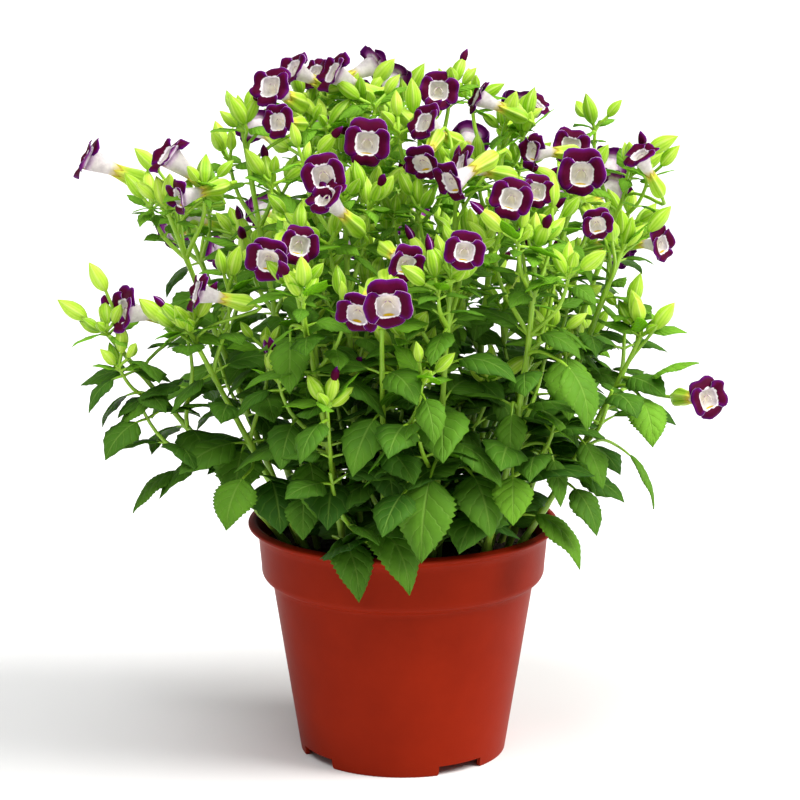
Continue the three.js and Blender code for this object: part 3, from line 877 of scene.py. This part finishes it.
def calyx_sheet():
    """The open calyx: its skin goes up outside to the five teeth, then a little way down inside."""

    def place(around, along):
        angle = tau * around
        outside = along <= 0.8
        share = along / 0.8 if outside else 1 - (along - 0.8) / 0.2 * 0.3
        rib = 0.20 * sin(pi * min(share, 0.85)) ** 0.5
        swell = CALYX_RADIUS * smooth_profile(CALYX, share) * (1 - rib + 2 * rib * keel(around) ** 1.5)
        if not outside:
            swell -= 0.35
        mouth = max(0.0, (share - 0.8) / 0.2)
        height = -CALYX_BASE + (CALYX_BASE - CALYX_MOUTH) * share + mouth * (4.2 * keel(around) - 1.2)
        return Vector((swell * cos(angle), swell * sin(angle), height))

    return rolled(4 * KEELS, 10, place)


# The trumpet's skin goes up the outside from its closed end to the rim of the throat and down again inside.
# Each row is the share along the skin, the radius, and the height, 0 at the rim, which is nearly square.
TRUMPET = [
    (0.00, 0.0, -25.2),
    (0.04, 1.5, -25.0),
    (0.12, 2.0, -19.0),
    (0.22, 2.8, -13.0),
    (0.32, 3.8, -8.0),
    (0.42, 4.8, -3.5),
    (0.50, 5.1, -0.1),
    (0.55, 4.9, -0.4),
    (0.64, 4.5, -1.3),
    (0.74, 3.9, -2.2),
    (0.84, 3.0, -3.1),
    (0.94, 1.6, -3.7),
    (1.00, 0.0, -3.9),
]
THROAT_RADIUS = 4.9


def squared(angle):
    """How much farther out the rim of a nearly square throat is at an angle than a round one."""
    return (abs(cos(angle)) ** 4 + abs(sin(angle)) ** 4) ** -0.25


def trumpet_sheet():
    radii = [(share, radius) for share, radius, _ in TRUMPET]
    heights = [(share, height) for share, _, height in TRUMPET]

    def place(around, along):
        angle = tau * around
        radius = smooth_profile(radii, along)
        height = smooth_profile(heights, along)
        square = max(0.0, 1 + height / 9)
        radius *= 1 + square * (squared(angle) - 1)
        return Vector((radius * cos(angle), radius * sin(angle), height))

    return rolled(28, 16, place)


# Petal lobes: the angle of a lobe's middle, its spread at the throat, its length, how steeply it rises
# there, how far it bends back, how deep the notch in its margin is and how far behind the others it sits.
LOBES = [
    (90, 142, 7.4, 16, 58, 0.13, -0.35),
    (6, 116, 6.6, 52, 72, 0.00, 0.0),
    (174, 116, 6.6, 52, 72, 0.00, 0.0),
    (-90, 108, 6.3, 40, 78, 0.04, 0.25),
]
PETAL_THICKNESS = 0.3
LOBE_FACE = 1
LOBE_BACK = 2
FILAMENT = 3


def lobe_sheet(middle, spread, length, rise, bend, notch, behind, wave, ruffle):
    """A petal lobe as a closed shell of two sheets that meet along its margin."""

    def surface(across, along, depth):
        edge = 2 * across - 1
        angle = radians(middle + 0.5 * spread * edge)
        rim = Vector((cos(angle), sin(angle), 0)) * (0.97 * THROAT_RADIUS * squared(angle))
        fan = radians(middle + 0.42 * spread * edge)
        outward = Vector((cos(fan), sin(fan), 0))
        scallop = 1 + 0.05 * sin(7.0 * edge + wave)
        reach = length * scallop * (1 - 0.42 * abs(edge) ** 3.6 - notch * exp(-((edge / 0.2) ** 2)))
        slope = radians(rise) - radians(bend) * along
        forward = reach * (sin(radians(rise)) - sin(slope)) / radians(bend)
        height = reach * (cos(slope) - cos(radians(rise))) / radians(bend)
        height += along * along * ruffle * (sin(wave + 5.0 * edge) + 0.5 * sin(2 * wave + 9.0 * edge))
        inside = (1 - abs(edge) ** 8) * (1 - along**8) * depth
        return rim + outward * (forward - 0.5 * inside * sin(slope)) + UP * (height + behind - inside)

    face = sheet(12, 7, lambda across, along: surface(across, along, 0))
    back = sheet(12, 7, lambda across, along: surface(across, along, PETAL_THICKNESS))
    for finish, part in ((LOBE_FACE, face), (LOBE_BACK, back)):
        for polygon in part.faces:
            polygon.material_index = finish
    add_sheet(face, back)
    bmesh.ops.remove_doubles(face, verts=face.verts, dist=0.005)
    bmesh.ops.recalc_face_normals(face, faces=face.faces)
    return face


def stamen_sheet(side):
    """One of the two pairs of filaments that arch up inside the throat and meet under its roof."""
    foot = Vector((2.2 * side, -2.4, -2.8))
    top = Vector((0.35 * side, 2.2, -1.0))

    def place(around, along):
        middle = foot.lerp(top, along) + Vector((0.8 * side, 0, 0.9)) * sin(pi * along)
        thick = 0.42 * (1.0 + 0.9 * max(0.0, along - 0.8) * 5) * (1 - along**12) * (1 - (1 - along) ** 12)
        return middle + Vector((cos(tau * around), 0, sin(tau * around))) * thick

    made = rolled(6, 8, place)
    for polygon in made.faces:
        polygon.material_index = FILAMENT
    return made


def corolla(luck):
    """A whole flower: the trumpet, four overlapping lobes and the arched filaments."""
    made = bmesh.new()
    add_sheet(made, trumpet_sheet())
    for middle, spread, length, rise, bend, notch, behind in LOBES:
        rise += luck.uniform(-14, 14)
        middle += luck.uniform(-6, 6)
        length *= luck.uniform(0.86, 1.08)
        shape = (middle, spread, length, rise, bend, notch, behind)
        add_sheet(made, lobe_sheet(*shape, luck.uniform(0, tau), luck.uniform(0.5, 1.3)))
    add_sheet(made, stamen_sheet(-1))
    add_sheet(made, stamen_sheet(1))
    return made


pod_green, nodes, links, shader = new_material("pod_green")
uv = node(nodes, "ShaderNodeUVMap", uv_map="along")
parts = node(nodes, "ShaderNodeSeparateXYZ")
links.new(uv.outputs[0], parts.inputs[0])
wings = math_node("COSINE", math_node("MULTIPLY", parts.outputs["X"], KEELS * pi))
ridge = math_node("POWER", math_node("ABSOLUTE", wings), 8.0)
threads = math_node("SINE", math_node("MULTIPLY", parts.outputs["X"], 6 * KEELS * pi))
tint = node(nodes, "ShaderNodeAttribute", attribute_name="shade")
place = node(nodes, "ShaderNodeTexCoord").outputs["Object"]
mottle = node(nodes, "ShaderNodeTexNoise", Scale=180.0, Detail=4.0)
links.new(place, mottle.inputs["Vector"])
wander = math_node("MULTIPLY", math_node("SUBTRACT", mottle.outputs["Fac"], 0.5), 0.6)
striped = math_node("ADD", wander, math_node("MULTIPLY", threads, 0.16))
share = math_node("ADD", tint.outputs["Fac"], striped)
pod_stops = [(0.0, (0.180, 0.440, 0.010)), (0.5, (0.390, 0.700, 0.022)), (1.0, (0.620, 0.880, 0.075))]
body = ramp(share, pod_stops)
# The ribs are painted paler: partly their own pale green, partly a painted highlight along each raised keel.
ridged = blend_colours(math_node("MULTIPLY", ridge, 0.6), body, (0.72, 0.90, 0.22))
tip = fade(parts.outputs["Y"], 0.86, 1.0)
tipped = math_node("MULTIPLY", tip, math_node("SUBTRACT", 1.0, tint.outputs["Fac"]))
ridged = blend_colours(math_node("MULTIPLY", tipped, 0.9), ridged, (0.16, 0.08, 0.02))
links.new(ridged, shader.inputs["Base Color"])
shader.inputs["Roughness"].default_value = 0.45
shader.inputs["Specular IOR Level"].default_value = 0.3
add_bump(shader, math_node("ADD", ridge, mottle.outputs["Fac"]), 0.4, 0.0006)
glow = node(nodes, "ShaderNodeBsdfTranslucent")
links.new(ridged, glow.inputs["Color"])
both = node(nodes, "ShaderNodeMixShader", Fac=0.25)
links.new(shader.outputs[0], both.inputs[1])
links.new(glow.outputs[0], both.inputs[2])
links.new(both.outputs[0], nodes["Material Output"].inputs["Surface"])

calyx_green = pod_green.copy()
calyx_green.name = "open_calyx_green"
nodes = calyx_green.node_tree.nodes
links = calyx_green.node_tree.links
colour = nodes["Principled BSDF"].inputs["Base Color"].links[0].from_socket
parts = node(nodes, "ShaderNodeSeparateXYZ")
links.new(node(nodes, "ShaderNodeUVMap", uv_map="along").outputs[0], parts.inputs[0])
mouth = fade(parts.outputs["Y"], 0.60, 0.80)
gilded = blend_colours(mouth, colour, (0.86, 0.72, 0.07))
links.new(gilded, nodes["Principled BSDF"].inputs["Base Color"])
links.new(gilded, nodes["Translucent BSDF"].inputs["Color"])


def petal_material(name, painted_by, roughness, see_through):
    """A soft, matt petal. painted_by(across, along) gives its colour."""
    made, nodes, links, shader = new_material(name)
    uv = node(nodes, "ShaderNodeUVMap", uv_map="along")
    parts = node(nodes, "ShaderNodeSeparateXYZ")
    links.new(uv.outputs[0], parts.inputs[0])
    painted = painted_by(parts.outputs["X"], parts.outputs["Y"])
    place = node(nodes, "ShaderNodeTexCoord").outputs["Object"]
    velvet = node(nodes, "ShaderNodeTexNoise", Scale=420.0, Detail=3.0)
    links.new(place, velvet.inputs["Vector"])
    speckle = ramp(velvet.outputs["Fac"], [(0.3, (0.84, 0.82, 0.84)), (0.7, (1.06, 1.06, 1.06))])
    colour = blend_colours(1.0, painted, speckle, "MULTIPLY")
    links.new(colour, shader.inputs["Base Color"])
    shader.inputs["Roughness"].default_value = roughness
    shader.inputs["Specular IOR Level"].default_value = 0.06
    add_bump(shader, velvet.outputs["Fac"], 0.3, 0.0003)
    glow = node(nodes, "ShaderNodeBsdfTranslucent")
    links.new(colour, glow.inputs["Color"])
    both = node(nodes, "ShaderNodeMixShader", Fac=see_through)
    links.new(shader.outputs[0], both.inputs[1])
    links.new(glow.outputs[0], both.inputs[2])
    links.new(both.outputs[0], nodes["Material Output"].inputs["Surface"])
    return made


WHITE = (0.90, 0.86, 0.88)
VIOLET = (0.120, 0.002, 0.190)
BURGUNDY = (0.078, 0.0004, 0.022)
MARGIN = (0.720, 0.460, 0.700)


def paint_trumpet(across, along):
    stops = [
        (0.00, (0.60, 0.62, 0.20)),
        (0.18, (0.86, 0.68, 0.08)),
        (0.22, (0.90, 0.80, 0.40)),
        (0.27, WHITE),
        (0.43, WHITE),
        (0.49, (0.78, 0.58, 0.80)),
        (0.52, WHITE),
        (0.66, (0.93, 0.90, 0.86)),
        (0.84, (0.93, 0.89, 0.82)),
        (1.00, (0.90, 0.82, 0.62)),
    ]
    painted = ramp(along, stops)
    sideways = math_node("MULTIPLY", math_node("SUBTRACT", across, 0.75), 11.0)
    inwards = math_node("MULTIPLY", math_node("SUBTRACT", along, 0.61), 10.0)
    apart = math_node("ADD",
        math_node("MULTIPLY", sideways, sideways),
        math_node("MULTIPLY", inwards, inwards),
    )
    spot = fade(apart, 0.4, 1.0, 1.0, 0.0)
    return blend_colours(spot, painted, (0.88, 0.62, 0.02))


def nearness_to_margin(across, along):
    """1 on a lobe's margin, less towards the middle of its foot."""
    sides = math_node("ABSOLUTE", math_node("SUBTRACT", across, 0.5))
    return math_node("MAXIMUM", math_node("MULTIPLY", sides, 2.0), along)


def paint_face(across, along):
    stops = [
        (0.00, BURGUNDY),
        (0.66, BURGUNDY),
        (0.84, (0.095, 0.001, 0.080)),
        (0.95, VIOLET),
        (0.965, VIOLET),
        (0.985, MARGIN),
        (1.00, MARGIN),
    ]
    painted = ramp(nearness_to_margin(across, along), stops)
    tree = tree_of(along)
    place = node(tree.nodes, "ShaderNodeTexCoord").outputs["Object"]
    edges = node(tree.nodes, "ShaderNodeTexNoise", Scale=500.0, Detail=1.0)
    tree.links.new(place, edges.inputs["Vector"])
    uneven = math_node("SUBTRACT", edges.outputs["Fac"], 0.5)
    jagged = math_node("ADD", along, math_node("MULTIPLY", uneven, 0.35))
    foot = ramp(jagged, [(0.10, (1, 1, 1)), (0.16, (0, 0, 0))])
    return blend_colours(foot, painted, WHITE)


def paint_back(across, along):
    stops = [
        (0.00, WHITE),
        (0.16, (0.82, 0.66, 0.84)),
        (0.34, (0.40, 0.07, 0.42)),
        (0.62, (0.170, 0.006, 0.190)),
        (0.95, VIOLET),
        (0.98, MARGIN),
        (1.00, MARGIN),
    ]
    return ramp(along, stops)


def paint_filament(across, along):
    return ramp(along, [(0.0, WHITE), (0.75, (0.80, 0.74, 0.62)), (0.9, (0.45, 0.30, 0.40))])


petals_of = [
    petal_material("trumpet_white", paint_trumpet, 0.55, 0.5),
    petal_material("lobe_burgundy", paint_face, 0.60, 0.12),
    petal_material("lobe_back", paint_back, 0.60, 0.20),
    petal_material("filament", paint_filament, 0.60, 0.20),
]


def place_part(part, matrix):
    bmesh.ops.transform(part, matrix=matrix, verts=part.verts)
    return part


def grow_bud(plant, start, leaving, place, turn, tilt, size, shade, spin, opening=False):
    matrix = frame_at(place, turn, tilt, size, spin)
    foot = matrix @ Vector((0, 0, -BUD_LENGTH + 0.6))
    stalk = stalk_route(start, leaving, foot, direction(turn, tilt))
    plant.tube(stalk, STALK_RADIUS, 1.15 * STALK_RADIUS, count=5)
    add_sheet(plant.pods, place_part(pod_sheet(BUD_LENGTH, BUD_RADIUS, 0.12, 0.5), matrix), shade)
    if opening:
        furled = place_part(pod_sheet(11, 2.3, 0.10, 0.3), Matrix.Translation((0, 0, 5)))
        for polygon in furled.faces:
            polygon.material_index = LOBE_FACE
        add_sheet(plant.petals, place_part(furled, matrix))


def grow_flower(plant, route, at, place, turn, tilt, size, luck, petals):
    matrix = frame_at(place, turn, tilt, size, luck.uniform(-16, 16))
    foot = matrix @ Vector((0, 0, -CALYX_BASE + 0.6))
    thick = SHOOT_RADIUS if at < 0.7 else STALK_RADIUS
    stalk = stalk_route(route.at(at), route.way(at), foot, direction(turn, tilt))
    plant.tube(stalk, thick, 1.2 * STALK_RADIUS, count=8)
    calyx = place_part(calyx_sheet(), matrix)
    for polygon in calyx.faces:
        polygon.material_index = OPEN_CALYX
    add_sheet(plant.pods, calyx, luck.uniform(0.3, 0.8))
    add_sheet(petals, place_part(corolla(luck), matrix))


luck = random.Random(SEED + 1)
for index, (stem, at, place, turn, tilt, size) in enumerate(FLOWERS):
    petals = bmesh.new()
    grow_flower(plants[stem - 1], routes[stem - 1], at, place, turn, tilt, size, luck, petals)
    finish_piece(petals, f"bloom_{index + 1:02d}", petals_of, [f"flower_{index + 1:02d}"])
for stem, at, place, turn, tilt, size in MORE_FLOWERS:
    plant = plants[stem - 1]
    grow_flower(plant, routes[stem - 1], at, place, turn, tilt, size, luck, plant.petals)
for stem, at, place, turn, tilt in BUDS:
    route = routes[stem - 1]
    shade = luck.uniform(0.5, 0.95)
    spin = luck.uniform(0, 72)
    grow_bud(plants[stem - 1], route.at(at), route.way(at), place, turn, tilt, 1.0, shade, spin)


# Foliage and side shoots. Each stem carries a pair of leaves at every node, a quarter turn from the pair
# below. A shoot grows from many of the leaf joints, with a pair or two of its own, and if it ends above
# 200 mm it ends like the stem's own tip in a rosette of small lime leaves round a cluster of buds.
NODE_SPACING = 23.0
RIM_CLEARANCE = 128.0
OPENING_BUDS = 0.22


# The outer stems stand apart from the bush and carry less: their share of the leaves and shoots, and the
# height below which they have none.
SPARSE = {1: 0.45, 2: 0.6, 3: 0.45, 4: 0.8, 16: 0.4, 17: 0.45, 18: 0.45, 24: 0.6, 19: 0.7}
BARE_BELOW = {1: 150, 2: 140, 3: 146, 4: 140, 17: 140, 18: 140, 16: 140}


LEAF_LENGTHS = [(100, 36), (150, 46), (210, 43), (240, 32), (275, 19), (310, 14), (400, 12)]


def leaf_size(height):
    """A leaf's length by its height above the table."""
    return smooth_profile(LEAF_LENGTHS, height)


def grown_share(height):
    """0 for the oldest, lowest leaves and 1 for the youngest ones at the top."""
    return min(max((height - 120) / 190, 0), 1)


def grow_pair(plant, place, way, quarter, luck, size):
    height_share = grown_share(place.z)
    across = way.orthogonal().normalized()
    across.rotate(Matrix.Rotation(quarter, 3, way))
    for side in (across, -across):
        outward = Vector((place.x, place.y, 0)).normalized() * 0.35
        turn = turn_of(Vector((side.x, side.y, 0)) + outward) + luck.uniform(-18, 18)
        long = size * luck.uniform(0.82, 1.15)
        wide = long * (0.64 - 0.28 * height_share) * luck.uniform(0.88, 1.1)
        rise = luck.uniform(0, 40) + 25 * side.z
        droop = luck.uniform(45, 95) - 25 * height_share
        # Low leaves get a low, dark shade: partly the deeper green of old leaves, partly painted shade for
        # the dim inside of the bush.
        shade = 0.03 + 0.80 * height_share**2 + luck.uniform(-0.08, 0.20)
        tip = leaf_spine(place, turn, rise, droop, long, 1)[0]
        if tip.z < RIM_CLEARANCE and tip.xy.length > SOIL_EDGE - 44:
            rise += 40
            droop *= 0.6
            tip = leaf_spine(place, turn, rise, droop, long, 1)[0]
        if tip.z > RIM_CLEARANCE or tip.xy.length < SOIL_EDGE - 40:
            plant.leaf(place, turn, rise, droop, long, wide, luck.uniform(-25, 25), shade)


def grow_rosette(plant, tip, way, luck, leaves, buds, size=1.0):
    start = luck.uniform(0, 360)
    for leaf in range(leaves):
        turn = start + 360 * leaf / leaves + luck.uniform(-25, 25)
        long = size * luck.uniform(15, 25)
        shape = (luck.uniform(0, 60), luck.uniform(20, 70), long, long * luck.uniform(0.36, 0.5))
        plant.leaf(tip, turn, *shape, luck.uniform(-30, 30), luck.uniform(0.85, 1.15), 2, 6)
    for bud in range(buds):
        turn = start + 360 * (bud + 0.5) / buds + luck.uniform(-35, 35)
        out = direction(turn, luck.uniform(5, 75)) + 0.5 * way
        out.normalize()
        scale = size * luck.uniform(0.55, 1.0)
        place = tip + out * (BUD_LENGTH * scale + luck.uniform(2, 11))
        tilt = degrees(asin(out.z))
        shade = luck.uniform(0.3, 1.0)
        spin = luck.uniform(0, 72)
        opening = scale > 0.8 and luck.random() < OPENING_BUDS
        grow_bud(plant, tip, way, place, turn_of(out), tilt, scale, shade, spin, opening)


def grow_shoot(plant, route, share, quarter, luck, reach):
    place = route.at(share)
    way = route.way(share)
    side = way.orthogonal().normalized()
    side.rotate(Matrix.Rotation(quarter, 3, way))
    end = place + side * reach * 0.6 + way * reach * 0.55 + UP * reach * 0.5
    shoot = stalk_route(place, side * 0.8 + way, end, UP * 0.9 + way + side * 0.2)
    plant.tube(shoot, SHOOT_RADIUS, 0.7 * SHOOT_RADIUS)
    for spot in (0.5, 0.92):
        where = shoot.at(spot)
        grow_pair(plant, where, shoot.way(spot), quarter + (1 + spot) * pi, luck, 0.72 * leaf_size(where.z))
    if end.z > 200:
        grow_rosette(plant, end, shoot.way(0.99), luck, 3, luck.randint(3, 4))


luck = random.Random(SEED + 2)
for number, (plant, route) in enumerate(zip(plants, routes), 1):
    fullness = SPARSE.get(number, 1.0)
    length = route.length()
    steps = ceil((length - 20) / NODE_SPACING)
    quarter = luck.uniform(0, tau)
    shares = [(22 + step * (length - 26) / steps) / length for step in range(steps)]
    plant.tube(route, STEM_RADIUS, 0.58 * STEM_RADIUS, count=40, swell=shares)
    for step, share in enumerate(shares):
        place = route.at(share)
        bare = place.z < BARE_BELOW.get(number, 0)
        if not bare and luck.random() < 0.5 + fullness:
            size = leaf_size(place.z) * (0.6 + 0.4 * fullness)
            grow_pair(plant, place, route.way(share), quarter + step * pi / 2, luck, size)
        if not bare and 0.12 < share < 0.9 and luck.random() < 0.85 * fullness:
            turned = quarter + step * pi / 2 + pi * luck.randrange(2)
            reach = luck.uniform(34, 60) * (1.15 - 0.55 * share)
            grow_shoot(plant, route, share, turned, luck, reach)
            if place.z > 225:
                reach = luck.uniform(24, 44) * (1.15 - 0.55 * share)
                grow_shoot(plant, route, share, turned + pi, luck, reach)
    grow_rosette(plant, route.at(1), route.way(1), luck, 4, 5)

for number, plant in enumerate(plants, 1):
    mesh = draw_lines(plant.lines, f"green_stem_{number:02d}")
    bm = bmesh.new()
    bm.from_mesh(mesh)
    bmesh.ops.scale(bm, vec=(1 / MM,) * 3, verts=bm.verts)
    finish_piece(bm, f"green_stem_{number:02d}", [green_material], [f"stem_{number:02d}"])
    finish_piece(plant.pods, f"calyxes_{number:02d}", [pod_green, calyx_green])
    thicken(finish_piece(plant.leaves, f"foliage_{number:02d}", [upper_side, under_side]))
    if plant.petals.faces:
        finish_piece(plant.petals, f"side_blooms_{number:02d}", petals_of)
    else:
        plant.petals.free()


# Studio: a pale floor under a bright, even sky, with a large soft key light from the right and the front.
FLOOR_REACH = 30
SKY_LIGHT = 0.32
floor_material, nodes, links, shader = new_material("studio_floor")
shader.inputs["Base Color"].default_value = (0.8, 0.8, 0.8, 1)
shader.inputs["Roughness"].default_value = 0.8
bm = bmesh.new()
bmesh.ops.create_grid(bm, x_segments=1, y_segments=1, size=FLOOR_REACH)
floor_mesh = bpy.data.meshes.new("floor")
bm.to_mesh(floor_mesh)
bm.free()
floor_mesh.materials.append(floor_material)
floor = bpy.data.objects.new("floor", floor_mesh)
bpy.context.scene.collection.objects.link(floor)


def soft_sun(name, turn, tilt, power, spread, colour=(1, 1, 1)):
    data = bpy.data.lights.new(name, "SUN")
    data.energy = power
    data.angle = radians(spread)
    data.color = colour
    light = bpy.data.objects.new(name, data)
    light.rotation_euler = direction(turn, tilt).to_track_quat("Z", "Y").to_euler()
    bpy.context.scene.collection.objects.link(light)


soft_sun("key", 74, 45, 4.2, 34, (1.0, 0.98, 0.95))
soft_sun("top", -25, 66, 2.5, 45)
world = bpy.data.worlds.new("studio")
world.use_nodes = True
world.node_tree.nodes["Background"].inputs["Color"].default_value = (1, 1, 1, 1)
world.node_tree.nodes["Background"].inputs["Strength"].default_value = SKY_LIGHT
bpy.context.scene.world = world
bpy.context.scene.view_settings.view_transform = "Standard"
